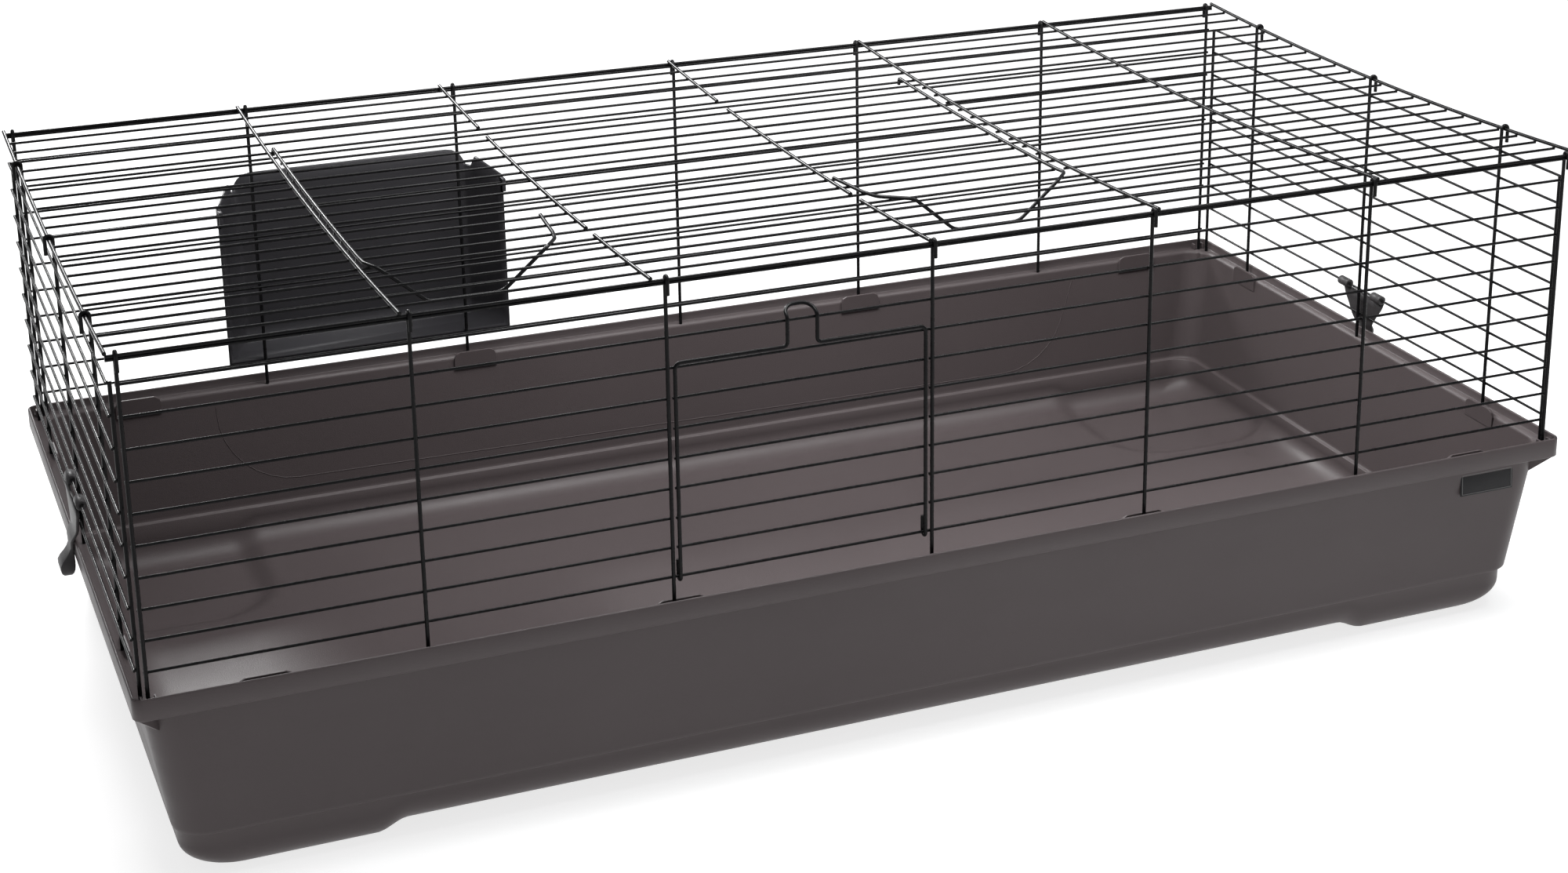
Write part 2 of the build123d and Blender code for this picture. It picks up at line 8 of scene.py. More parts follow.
import bmesh
import bpy
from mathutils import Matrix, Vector

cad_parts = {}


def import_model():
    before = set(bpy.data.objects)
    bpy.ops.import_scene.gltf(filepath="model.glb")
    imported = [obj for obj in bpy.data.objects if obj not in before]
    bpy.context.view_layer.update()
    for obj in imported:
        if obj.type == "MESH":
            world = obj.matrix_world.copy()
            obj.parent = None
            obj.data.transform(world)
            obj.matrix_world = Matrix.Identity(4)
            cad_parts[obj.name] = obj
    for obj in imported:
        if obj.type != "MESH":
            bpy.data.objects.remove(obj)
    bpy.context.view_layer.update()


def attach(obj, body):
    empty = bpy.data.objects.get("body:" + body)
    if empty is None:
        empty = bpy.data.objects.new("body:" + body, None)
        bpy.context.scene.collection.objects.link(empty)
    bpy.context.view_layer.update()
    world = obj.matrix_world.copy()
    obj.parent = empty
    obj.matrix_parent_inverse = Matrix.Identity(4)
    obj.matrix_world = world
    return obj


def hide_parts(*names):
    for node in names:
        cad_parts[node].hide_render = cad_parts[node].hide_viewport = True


MM = 0.001
ORIGIN_Y = 21.35             # the frame's origin lies this far behind the middle of the tray
BACKWARD = 1                 # sides of the cage, as signs of y and x
FORWARD = -1
LEFT = -1
RIGHT = 1
SIDES = (-1, 1)

# tray
RIM_HALF = (590.0, 301.0)
RIM_TOP = 160.0
RIM_CORNER = 8.0
SKIRT_BOTTOM = 143.5
LIP = 2.5
LEDGE = 152.0
WALL = 3.0
BODY_CORNER = 26.0
WALL_TOP_INSET = (7.0, 8.5)
STEP_INSET = (23.0, 17.6)
STEP_HEIGHT = 38.0
STEP_SIZE = 3.5
BOTTOM_RADIUS = (38.0, 24.0)
FLOOR_HEIGHT = 8.0
FOOT_START = (423.0, 135.0)
FOOT_SLOPE = 23.0
FOOT_CORNER = 45.0
RING_SPACING = 5.0
CORNER_STEPS = 14
WALL_RINGS = (130.0, 110.0, 90.0, 70.0, 55.0)    # heights of the sections down the wall
FLOOR_SHRINK = 0.3           # how fast the floor's rings lose their corner radius
ROUND_STEPS = 12             # rings round the bend between wall and floor
TABS_LONG = (-497.0, -191.0, 196.5, 503.0)
TABS_SHORT = (-200.0, 200.0)
TAB_INSET = (11.0, 12.9)
TAB_HALF = 20.0
TAB_THICK = 2.2
TAB_HEIGHTS = (140.0, 156.5)
TAB_BEVEL = 0.45
SOCKET_ARMS = (((4, -1.2), (5.6, 5)), ((-5.6, -1.2), (-4, 5)))    # low and high corner of each arm
SOCKET_HEIGHTS = (LEDGE - 1, LEDGE + 6)
SOCKET_BEVEL = 0.4
GUSSET_DEPTH = 26.0
GUSSET_REACH = 17.5
GUSSET_ROOT = -4.0
MOULD_LINE = ((-430, 138), (-430, 62), (400, 52), (430, 138))
MOULD_LINE_BEND = 70.0
MOULD_LINE_RADIUS = 0.35

# wires
POST = 1.5
RUNG = 1.1
EDGE = 1.25
WELD = 0.15                  # how far two welded wires sink into each other
BEAD = 1.35                  # radius
BEAD_SHIFT = 0.6             # how far the beads of the outermost ribs sit inward
LAYER = POST + RUNG - WELD   # from a rung's middle to the middle of the wire welded on it
PANEL_X = 578.0
PANEL_Y = 291.0
BAYS = (195.7, 185.2, 208.5, 184.6, 196.7, 185.3)
UPRIGHTS = [-PANEL_X + sum(BAYS[:i]) for i in range(len(BAYS) + 1)]
RUNG_PITCH = 23.4
RUNG_COUNT = 10
LOWEST_RUNG = 174.5
ROOF_Z = 407.2
WIRE_FOOT = LEDGE + 0.2
HOOK = EDGE + POST - 0.05
HOOK_TAIL = 11.0
ROOF_SAG = 8.5
ROOF_RUNGS = 24
HATCH_FIRST = 6
HATCH_LAST = 17
HATCH_PITCH = 24.9
RIBS_LEFT = (-585.0, -389.0)
RIBS_RIGHT = (199.4, 396.0, 585.0)
STUB_RIBS = (-209.0, 8.0)
STUB_OVERHANG = 1.0
HATCH_SIDES = (-383.0, 187.0)
TONGUES = ((HATCH_SIDES[0], -313.0, -230.0), (HATCH_SIDES[1], 110.0, 14.0))    # side, middle, inner end
TONGUE_GAP = 12.0
TONGUE_DROP = 30.0
TONGUE_TOP = 63.0
TONGUE_TIP = 28.0
TONGUE_LEAN = 9.0
TONGUE_RETURN = 2
TONGUE_BENDS = (12.0, 8.0, 14.0, 14.0, 8.0, 12.0, 12.0)
HATCH_BOWS = (100.0, 50.0, 0.0, -50.0, -100.0)
SIDE_BEND = 3.0
PIVOT_GAP = 0.3
TONGUE_SET = 5.0             # from the pivot wire back to where the side wire turns to the tongue
TONGUE_SLANT = 5.0           # how far the returning wire slants over the hatch's first wires
SIDE_START = 6.0             # how far the side wire runs straight past the hatch's last wire
SIDE_LEAD = 2.0              # and past its first wire
RIB_OVERHANG = 2.5
SNAP_REACH = 4.6
SNAP_DROP = 6.5
SNAP_BEND = 3.0
SIDE_POST_X = RIBS_RIGHT[-1] - 2 * POST + 0.05
SIDE_POSTS = (-200.0, 0.0, 200.0)
SIDE_EDGE_Y = 282.0
SIDE_RUNG_X = SIDE_POST_X + LAYER
LOOP = 2 * POST - 0.05
LOOP_TAIL = 12.0
ROOF_HALF = PANEL_Y + HOOK
ROOF_PITCH = 2 * ROOF_HALF / (ROOF_RUNGS - 1)
PANEL_RUNG_Y = PANEL_Y - LAYER
BEND_STEP = math.radians(12)
SAG_STEPS = 24

# front door
DOOR_TOP_RUNG = 2
DOOR_GAP = 5.5
HINGE_PLAY = 0.1
DOOR_REACH = RUNG + HINGE_PLAY + POST
DOOR_TAIL = 12.0
DOOR_BAR_RISE = 4.0          # from the door's top rung line up to its top bar
DOOR_BENDS = (5, 3.5, 4, 9, 9, 4, 3.5, 5)
HANDLE_WIDTH = 23.5
HANDLE_RISE = 28.5
HANDLE_LEAN = 10.7
HANDLE_TAPER = 1.0           # how much closer each leg stands at the handle's crown
HANDLE_CLEAR = 0.6           # from the rung above the door to where the legs lean back over it

# clips
CLIP_RUNG = 8
CLIP_THICK = 2.6
CLIP_GAP = 0.7
CLIP_EYE = 27.0              # from the clip's middle to each eye
EYE_HALF_WIDTH = 7.5
EYE_RADIUS = 4.2
EYE_ROUNDING = 0.5
EYE_STEPS = 24
CLIP_TAB_OUT = 12.5
CLIP_BOTTOM = 129.0

# hay rack
RACK_MIDDLE = -284.5
RACK_MOUTH = 259.0
RACK_BACK = 215.0
RACK_FRONT = PANEL_Y + POST + 1.2
RACK_DEPTH = 50.0
RACK_BOTTOM = 173.0
RACK_SHOULDER = 321.0
RACK_TOP = 336.0
RACK_WALL = 2.6
RACK_RUNG = 3
RACK_STEPS = 10
RACK_LIP = 0.8               # height of the rounding on the wall's upper edge
RACK_ROUND_TOP = 18.0
RACK_ROUND_SIDE = 9.0
RACK_SPACING = 6.0
RACK_BAND = 12.0             # the back part of the side walls that shares the rounded top
EAR_HALF = 1.6
EAR_DEPTH = 6.0
EAR_TOP = 319.0
EAR_BEVEL = 0.4
EAR_SEAT = 0.3               # gap above the rung that the rack hangs on
EAR_CLEAR = 0.8              # gap behind that rung
EAR_LIP = 8.0                # how far the hook's end hangs below the rung
EAR_LEG = 14.0               # and how far its root runs down the wall

# label
LABEL_SIZE = (52.0, 1.2, 20.0)
LABEL_X = 523.4
LABEL_Z = 128.5
LABEL_BEVEL = 0.5
BORDER_INSET = 1.6
BORDER_HALF = 0.25
BORDER_DEPTHS = (-0.2, 0.3)
BORDER_BEVEL = 0.12

# studio
CAMERA_PLACE = (-0.7704, -2.03285, 1.0204)
CAMERA_TURN = (71.8847, 0.2391, -23.2251)
CAMERA_LENS = 61.79
CAMERA_SENSOR = 36
CAMERA_SHIFT = (-0.058, -0.12)
STUDIO_SIZE = 14
STUDIO_MIDDLE = (0, 1.5, 0)
FLOOR_GLOW = 0.75
BACKDROP_GLOW = 1.0
SOFT_LIGHT = 0.3
SOFT_COLOUR = (0.96, 0.97, 1, 1)
WHITE = (1, 1, 1, 1)
LIGHTS = {                   # place, target, size and power in watts
    "key": ((0.7, -0.4, 1.45), (0.2, 0, 0.1), (0.5, 0.5), 16),
    "overhead": ((-0.3, 0, 2.6), (0, 0, 0.1), (1.2, 1.2), 18),
    "left_fill": ((-0.05, -0.1, 0.95), (0.8, 0, 0.15), (0.5, 0.5), 14),
    "back_strip": ((-0.5, 3.2, 1.9), (-0.1, 0, 0.4), (0.9, 0.6), 80),
}

# surfaces: each colour drifts between a dark and a light value
NOISE_RANGE = (0.3, 0.7)     # the part of a noise texture's values that is used
WIRE_COLOURS = ((0.004, 0.004, 0.0045), (0.007, 0.0068, 0.007))
WIRE_ROUGHNESS = (0.22, 0.36)
WIRE_SPECULAR = 0.10
PLASTIC_SPECULAR = 0.22
PLASTICS = {                 # dark colour, light colour and roughness range
    "tray_moulding": ((0.060, 0.049, 0.050), (0.068, 0.056, 0.057), (0.36, 0.46)),
    "clip_moulding": ((0.036, 0.034, 0.035), (0.044, 0.042, 0.043), (0.35, 0.45)),
    "rack_moulding": ((0.026, 0.025, 0.028), (0.032, 0.031, 0.034), (0.38, 0.48)),
    "label_face": ((0.009, 0.009, 0.010), (0.012, 0.012, 0.013), (0.4, 0.5)),
    "label_edge": ((0.12, 0.12, 0.12), (0.14, 0.14, 0.14), (0.35, 0.45)),
}
STUDIO_COLOURS = ((0.40, 0.40, 0.40), (0.43, 0.43, 0.43))


# ---------------------------------------------------------------- helpers
def at(x, y, z):
    """A point written in millimetres about the tray's middle, in the frame's metres."""
    return Vector((x * MM, (y - ORIGIN_Y) * MM, z * MM))


def rung_z(index):
    return LOWEST_RUNG + (RUNG_COUNT - 1 - index) * RUNG_PITCH


def roof_z(y):
    return ROOF_Z - ROOF_SAG * (1 - (y / ROOF_HALF) ** 2)


def roof_y(index):
    return -ROOF_HALF + index * ROOF_PITCH


def hatch_y(index):
    return roof_y(HATCH_FIRST) + (index - HATCH_FIRST) * HATCH_PITCH


def bend(points, radii):
    """Straight runs joined by arcs: the wire's path as close points."""
    points = [Vector(p) for p in points]
    if not isinstance(radii, (list, tuple)):
        radii = [radii] * (len(points) - 2)
    path = [points[0]]
    for before, corner, after, radius in zip(points, points[1:], points[2:], radii):
        first = (before - corner).normalized()
        second = (after - corner).normalized()
        turn = math.pi - first.angle(second)
        if turn < 1e-4:
            continue
        cut = radius * math.tan(turn / 2)
        centre = corner + (first + second).normalized() * (radius / math.cos(turn / 2))
        start = corner + first * cut - centre
        end = corner + second * cut - centre
        steps = max(2, math.ceil(turn / BEND_STEP))
        for step in range(steps + 1):
            angle = turn * step / steps
            path.append(centre + (start * math.sin(turn - angle) + end * math.sin(angle)) / math.sin(turn))
    path.append(points[-1])
    return path


def half_turn(centre, start, over):
    """Points of a half circle about centre, from start to its opposite, passing over."""
    steps = math.ceil(math.pi / BEND_STEP)
    return [centre + start * math.cos(math.pi * s / steps) + over * math.sin(math.pi * s / steps)
            for s in range(steps + 1)]


def place_object(name, data, material, body):
    """An object with a material, which rides on a body."""
    data.materials.append(material)
    obj = bpy.data.objects.new(name, data)
    bpy.context.collection.objects.link(obj)
    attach(obj, body)
    return obj


def rods(name, paths, radius, roundness):
    """Curve data with a round section along each path."""
    data = bpy.data.curves.new(name, "CURVE")
    data.dimensions = "3D"
    data.bevel_depth = radius * MM
    data.bevel_resolution = roundness
    for path in paths:
        spline = data.splines.new("POLY")
        spline.points.add(len(path) - 1)
        for point, place in zip(spline.points, path):
            point.co = (*at(*place), 1)
        spline.use_smooth = True
    return data


def wires(name, paths, radius, material, body, node):
    """Round wires along paths, as one object that stands for a CAD node."""
    data = rods(name, paths, radius, 4)
    data.use_fill_caps = True
    obj = place_object(name, data, material, body)
    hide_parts(node)


def mesh_object(name, bm, material, body, smooth=True):
    """A mesh from bmesh data; its vertices are in millimetres about the tray's middle."""
    for vertex in bm.verts:
        vertex.co = at(*vertex.co)
    bmesh.ops.recalc_face_normals(bm, faces=bm.faces)
    data = bpy.data.meshes.new(name)
    bm.to_mesh(data)
    bm.free()
    for face in data.polygons:
        face.use_smooth = smooth
    return place_object(name, data, material, body)


def add_ring(bm, points):
    return [bm.verts.new(point) for point in points]


def bridge(bm, first, second):
    """Faces between two closed rings with as many points."""
    faces = []
    for index in range(len(first)):
        after = (index + 1) % len(first)
        faces.append(bm.faces.new((first[index], first[after], second[after], second[index])))
    return faces


def loft(bm, rings):
    for first, second in zip(rings, rings[1:]):
        bridge(bm, first, second)


def prism(bm, layers):
    """A solid between two outlines with as many points; returns its faces."""
    caps = [bm.faces.new(layers[0]), bm.faces.new(layers[1][::-1])]
    return caps + bridge(bm, *layers)


def weld_beads(name, places, material, body):
    """Small round beads where wires are welded across each other."""
    bm = bmesh.new()
    for place in places:
        made = bmesh.ops.create_icosphere(bm, subdivisions=2, radius=BEAD)
        for vertex in made["verts"]:
            vertex.co += Vector(place)
    mesh_object(name, bm, material, body)


def rounded_box(bm, low, high, bevel):
    """A box with bevelled edges, added to bm."""
    made = bmesh.ops.create_cube(bm, size=1.0)
    middle = (Vector(low) + Vector(high)) / 2
    size = Vector(high) - Vector(low)
    for vertex in made["verts"]:
        vertex.co = middle + Vector(a * b for a, b in zip(vertex.co, size))
    edges = list({edge for vertex in made["verts"] for edge in vertex.link_edges})
    bmesh.ops.bevel(bm, geom=edges, offset=bevel, segments=3, affect="EDGES", profile=0.5)


# ---------------------------------------------------------------- materials
def new_material(name, specular):
    material = bpy.data.materials.new(name)
    material.use_nodes = True
    shader = material.node_tree.nodes["Principled BSDF"]
    shader.inputs["Specular IOR Level"].default_value = specular
    return material, material.node_tree, shader


def noise(tree, scale, detail, low, high, stretch=(1, 1, 1)):
    """Noise in object space, remapped to a range."""
    place = tree.nodes.new("ShaderNodeTexCoord")
    mapping = tree.nodes.new("ShaderNodeMapping")
    mapping.inputs["Scale"].default_value = stretch
    texture = tree.nodes.new("ShaderNodeTexNoise")
    texture.inputs["Scale"].default_value = scale
    texture.inputs["Detail"].default_value = detail
    remap = tree.nodes.new("ShaderNodeMapRange")
    remap.inputs["From Min"].default_value = NOISE_RANGE[0]
    remap.inputs["From Max"].default_value = NOISE_RANGE[1]
    remap.inputs["To Min"].default_value = low
    remap.inputs["To Max"].default_value = high
    tree.links.new(place.outputs["Object"], mapping.inputs["Vector"])
    tree.links.new(mapping.outputs["Vector"], texture.inputs["Vector"])
    tree.links.new(texture.outputs["Fac"], remap.inputs["Value"])
    return remap.outputs["Result"]


def mix_colours(tree, factor, first, second):
    mix = tree.nodes.new("ShaderNodeMix")
    mix.data_type = "RGBA"
    mix.inputs["A"].default_value = (*first, 1)
    mix.inputs["B"].default_value = (*second, 1)
    tree.links.new(factor, mix.inputs["Factor"])
    return mix.outputs["Result"]


def add_bump(tree, shader, height, distance):
    bump = tree.nodes.new("ShaderNodeBump")
    bump.inputs["Distance"].default_value = distance
    bump.inputs["Strength"].default_value = 1.0
    tree.links.new(height, bump.inputs["Height"])
    tree.links.new(bump.outputs["Normal"], shader.inputs["Normal"])


def wire_material():
    """Black coating that is a little uneven in thickness and gloss."""
    material, tree, shader = new_material("wire_coating", WIRE_SPECULAR)
    patches = noise(tree, 45, 3, 0.0, 1.0)
    tree.links.new(mix_colours(tree, patches, *WIRE_COLOURS), shader.inputs["Base Color"])
    tree.links.new(noise(tree, 160, 2, *WIRE_ROUGHNESS), shader.inputs["Roughness"])
    add_bump(tree, shader, noise(tree, 300, 2, 0, 1), 0.00001)
    return material


def plastic_material(name):
    """Moulded plastic: slow colour drift, a fine grain and streaks of rubbed gloss."""
    dark, light, roughness = PLASTICS[name]
    material, tree, shader = new_material(name, PLASTIC_SPECULAR)
    drift = noise(tree, 3.5, 4, 0.0, 1.0)
    tree.links.new(mix_colours(tree, drift, dark, light), shader.inputs["Base Color"])
    rub = noise(tree, 14, 6, *roughness, (1, 1, 4))
    tree.links.new(rub, shader.inputs["Roughness"])
    add_bump(tree, shader, noise(tree, 1500, 2, 0, 1), 0.00006)
    return material


def floor_material():
    """A pale matt floor that glows a little, so that it joins the backdrop."""
    material, tree, shader = new_material("studio_floor", 0.5)
    shader.inputs["Roughness"].default_value = 0.6
    shader.inputs["Emission Color"].default_value = WHITE
    shader.inputs["Emission Strength"].default_value = FLOOR_GLOW
    tone = noise(tree, 2, 2, 0, 1)
    tree.links.new(mix_colours(tree, tone, *STUDIO_COLOURS), shader.inputs["Base Color"])
    return material


# ---------------------------------------------------------------- tray
def outline(inset_x, inset_y, corner):
    """Points round a rounded rectangle, as many for every section of the tray."""
    half_x, half_y = RIM_HALF[0] - inset_x, RIM_HALF[1] - inset_y
    corner = max(0.2, min(corner, half_y - 0.5, half_x - 0.5))
    long_steps = round(2 * RIM_HALF[0] / RING_SPACING)
    short_steps = round(2 * RIM_HALF[1] / RING_SPACING)
    centres = ((1, 1), (-1, 1), (-1, -1), (1, -1))
    points = []
    for index, (side_x, side_y) in enumerate(centres):
        centre_x, centre_y = side_x * (half_x - corner), side_y * (half_y - corner)
        for step in range(CORNER_STEPS + 1):
            angle = math.radians(90 * index + 90 * step / CORNER_STEPS)
            points.append((centre_x + corner * math.cos(angle), centre_y + corner * math.sin(angle)))
        next_x, next_y = centres[(index + 1) % 4]
        end_angle = math.radians(90 * index + 90)
        end_x = next_x * (half_x - corner) + corner * math.cos(end_angle)
        end_y = next_y * (half_y - corner) + corner * math.sin(end_angle)
        start_x, start_y = points[-1]
        steps = long_steps if index % 2 == 0 else short_steps
        for step in range(1, steps):
            share = step / steps
            points.append((start_x + (end_x - start_x) * share, start_y + (end_y - start_y) * share))
    return points


def wall_inset(z):
    """How far the drafted wall stands in from the rim's edge, along x and y."""
    run = (z - STEP_HEIGHT) / (LEDGE - WALL - STEP_HEIGHT)
    return [low + (high - low) * run for low, high in zip(STEP_INSET, WALL_TOP_INSET)]


def wall_profile(offset):
    """The wall from under the ledge down to the step, then the round and the floor. Each row is the
    inset along x and y, the height and the corner's radius; offset is 0 outside and WALL inside."""
    corner = BODY_CORNER - offset
    step_z = STEP_HEIGHT + offset
    top = LEDGE - WALL if offset == 0 else LEDGE
    rows = []
    for z in (top, top - 3, *WALL_RINGS, step_z + 3, step_z + 0.6):
        inset = wall_inset(z)
        rows.append((inset[0] + offset, inset[1] + offset, z, corner))
    inset = [i + offset for i in wall_inset(step_z)]
    rows.append((inset[0] + 0.5, inset[1] + 0.5, step_z - 0.1, corner))
    start = [i + STEP_SIZE + offset for i in STEP_INSET]
    rows.append((start[0] - 0.5, start[1] - 0.5, step_z - 0.3, corner))
    rows.append((start[0], start[1], step_z - 1.0, corner))
    return rows + floor_rows(start, corner, offset)


def floor_rows(start, corner, offset):
    """The round at the foot of the wall and rings across the floor to near its middle."""
    radii = [radius - offset for radius in BOTTOM_RADIUS]
    base = FLOOR_HEIGHT + offset
    rows = []
    for step in range(ROUND_STEPS + 1):
        angle = math.radians(90 * step / ROUND_STEPS)
        rows.append((start[0] + radii[0] * (1 - math.cos(angle)),
                     start[1] + radii[1] * (1 - math.cos(angle)),
                     base + radii[1] * (1 - math.sin(angle)), corner))
    edge_x, edge_y = rows[-1][:2]
    inset_y = edge_y
    while inset_y < RIM_HALF[1] - 2 * RING_SPACING:
        inset_y += RING_SPACING
        shrink = max(2.0, corner - (inset_y - edge_y) * FLOOR_SHRINK)
        rows.append((edge_x + inset_y - edge_y, inset_y, base, shrink))
    return rows


def rim_profile():
    """From the wall's top outside, over the ledge's underside, skirt and lip, to the ledge."""
    under = LEDGE - WALL
    inner_corner = RIM_CORNER - LIP
    under_ledge = [(LIP + 0.8, under), (LIP, under - 0.8), (LIP, SKIRT_BOTTOM + 0.6),
                   (LIP - 0.6, SKIRT_BOTTOM)]
    skirt = [(0.6, SKIRT_BOTTOM), (0, SKIRT_BOTTOM + 0.6), (0, RIM_TOP - 1.2), (0.35, RIM_TOP - 0.35),
             (1.1, RIM_TOP)]
    lip = [(LIP - 0.9, RIM_TOP), (LIP - 0.2, RIM_TOP - 0.3), (LIP, RIM_TOP - 1), (LIP, LEDGE + 0.8),
           (LIP + 0.8, LEDGE)]
    rows = [(inset, inset, z, inner_corner) for inset, z in under_ledge]
    rows += [(inset, inset, z, RIM_CORNER) for inset, z in skirt]
    rows += [(inset, inset, z, inner_corner) for inset, z in lip]
    return rows


def foot_share(x, y, offset):
    """1 over a corner foot, 0 away from it, with a slope between."""
    out_x = FOOT_START[0] + offset - abs(x) + FOOT_CORNER
    out_y = FOOT_START[1] + offset - abs(y) + FOOT_CORNER
    distance = math.hypot(max(out_x, 0), max(out_y, 0)) - FOOT_CORNER
    share = min(1.0, max(0.0, 1 - distance / FOOT_SLOPE))
    return share * share * (3 - 2 * share)


def lowered(x, y, z, offset):
    """Drops the foot's part of the bottom, stretching the wall just under the step."""
    top, bottom = STEP_HEIGHT + offset - 1.0, FLOOR_HEIGHT + BOTTOM_RADIUS[1]
    weight = min(1.0, max(0.0, (top - z) / (top - bottom)))
    return z - FLOOR_HEIGHT * weight * foot_share(x, y, offset)


def tray_mesh():
    """One skin: up the outside from the bottom's middle, over the rim and down the inside."""
    sections = [(row, 0) for row in wall_profile(0)[::-1] + rim_profile()]
    sections += [(row, WALL) for row in wall_profile(WALL)]
    bm = bmesh.new()
    rings = []
    for (inset_x, inset_y, z, corner), offset in sections:
        points = outline(inset_x, inset_y, corner)
        rings.append(add_ring(bm, [(x, y, lowered(x, y, z, offset)) for x, y in points]))
    loft(bm, rings)
    for ring in (rings[0], rings[-1]):
        bm.faces.new(ring)
    return bm


def add_tab(bm, x, y, turned):
    """A retaining tab: a plate with sloping shoulders and rounded edges."""
    half = TAB_HALF
    bottom, top = TAB_HEIGHTS
    shape = [(-half, bottom), (half, bottom), (half, top - 6), (half - 2, top - 2), (half - 6, top),
             (-half + 6, top), (-half + 2, top - 2), (-half, top - 6)]
    layers = []
    for depth in (-TAB_THICK / 2, TAB_THICK / 2):
        if turned:
            layers.append(add_ring(bm, [(x + depth, y + along, z) for along, z in shape]))
        else:
            layers.append(add_ring(bm, [(x + along, y + depth, z) for along, z in shape]))
    edges = list({edge for face in prism(bm, layers) for edge in face.edges})
    bmesh.ops.bevel(bm, geom=edges, offset=TAB_BEVEL, segments=2, affect="EDGES", profile=0.5)


def add_socket(bm, side_x, side_y):
    """Two short arms that hold a corner upright of the front or back panel."""
    x, y = side_x * PANEL_X, side_y * PANEL_Y
    bottom, top = SOCKET_HEIGHTS
    for low, high in SOCKET_ARMS:
        ends_x = sorted((x + side_x * low[0], x + side_x * high[0]))
        ends_y = sorted((y + side_y * low[1], y + side_y * high[1]))
        rounded_box(bm, (ends_x[0], ends_y[0], bottom), (ends_x[1], ends_y[1], top), SOCKET_BEVEL)


def add_gusset(bm, side_x, side_y):
    """A thin web from the body's corner out to the skirt, along the corner's diagonal."""
    diagonal = BODY_CORNER * (1 - math.sqrt(0.5))
    start = Vector((side_x * (RIM_HALF[0] - WALL_TOP_INSET[0] - diagonal),
                    side_y * (RIM_HALF[1] - WALL_TOP_INSET[1] - diagonal), 0))
    out = Vector((side_x, side_y, 0)).normalized()
    across = Vector((-out.y, out.x, 0)) * (WALL / 2)
    shape = [(GUSSET_ROOT, LEDGE - 1), (GUSSET_ROOT, LEDGE - GUSSET_DEPTH), (GUSSET_REACH, SKIRT_BOTTOM),
             (GUSSET_REACH, LEDGE - 1)]
    layers = []
    for side in SIDES:
        edge = start + across * side
        layers.append(add_ring(bm, [edge + out * run + Vector((0, 0, z)) for run, z in shape]))
    prism(bm, layers)


def tray_details():
    """Retaining tabs, corner sockets and the gussets under the rim."""
    bm = bmesh.new()
    for x in TABS_LONG:
        for side in SIDES:
            add_tab(bm, x, side * (RIM_HALF[1] - TAB_INSET[1]), False)
    for y in TABS_SHORT:
        for side in SIDES:
            add_tab(bm, side * (RIM_HALF[0] - TAB_INSET[0]), y, True)
    for side_x in SIDES:
        for side_y in SIDES:
            add_socket(bm, side_x, side_y)
            add_gusset(bm, side_x, side_y)
    return bm


def wall_beads(material):
    """A faint raised line that the mould leaves on the inside of the back and front walls."""
    line = bend([(x, 0, z) for x, z in MOULD_LINE], MOULD_LINE_BEND)
    for side, name in ((BACKWARD, "mould_line_back"), (FORWARD, "mould_line_front")):
        path = [(x, side * (RIM_HALF[1] - wall_inset(z)[1] - WALL), z) for x, _, z in line]
        data = rods(name, [path], MOULD_LINE_RADIUS, 2)
        place_object(name, data, material, "tray_base")


def build_tray(material):
    tray = mesh_object("tray_shell", tray_mesh(), material, "tray_base")
    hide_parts("tray")
    mesh_object("tray_tabs", tray_details(), material, "tray_base", smooth=False)
    wall_beads(material)


def build_label(material, border_material):
    """A blank plate with a raised border, leaning with the wall."""
    lean = math.atan((STEP_INSET[1] - WALL_TOP_INSET[1]) / (LEDGE - WALL - STEP_HEIGHT))
    middle = Vector((LABEL_X, -RIM_HALF[1] + wall_inset(LABEL_Z)[1] - LABEL_SIZE[1] / 2, LABEL_Z))
    half_x, half_y, half_z = (size / 2 for size in LABEL_SIZE)

    def lean_all(bm):
        """Leans what is in bm with the wall and moves it to the label's place."""
        for vertex in bm.verts:
            x, depth, z = vertex.co
            leaning = depth * math.cos(lean) + z * math.sin(lean)
            vertex.co = middle + Vector((x, leaning, z * math.cos(lean)))

    bm = bmesh.new()
    rounded_box(bm, (-half_x, -half_y, -half_z), (half_x, half_y, half_z), LABEL_BEVEL)
    lean_all(bm)
    plate = mesh_object("label_blank", bm, material, "tray_base")
    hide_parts("label_plate")
    x, z = half_x - BORDER_INSET, half_z - BORDER_INSET
    corners = [(-x, z), (x, z), (x, -z), (-x, -z)]
    bm = bmesh.new()
    for (x0, z0), (x1, z1) in zip(corners, corners[1:] + corners[:1]):
        low = (min(x0, x1) - BORDER_HALF, BORDER_DEPTHS[0] - half_y, min(z0, z1) - BORDER_HALF)
        high = (max(x0, x1) + BORDER_HALF, BORDER_DEPTHS[1] - half_y, max(z0, z1) + BORDER_HALF)
        rounded_box(bm, low, high, BORDER_BEVEL)
    lean_all(bm)
    mesh_object("label_border", bm, border_material, "tray_base")


# ---------------------------------------------------------------- wire top
def hooked_upright(x, side):
    """An upright of the front or back panel, hooked over the roof's edge wires."""
    y = side * PANEL_Y
    crown = half_turn(Vector((x, side * (PANEL_Y + HOOK), ROOF_Z)), Vector((0, -side * HOOK, 0)),
                      Vector((0, 0, HOOK)))
    tail = (x, side * (PANEL_Y + 2 * HOOK), ROOF_Z - HOOK_TAIL)
    return [(x, y, WIRE_FOOT), *crown, tail]


def panel_rung(index, x_from, x_to, side):
    z = rung_z(index)
    return [(x_from, side * PANEL_RUNG_Y, z), (x_to, side * PANEL_RUNG_Y, z)]


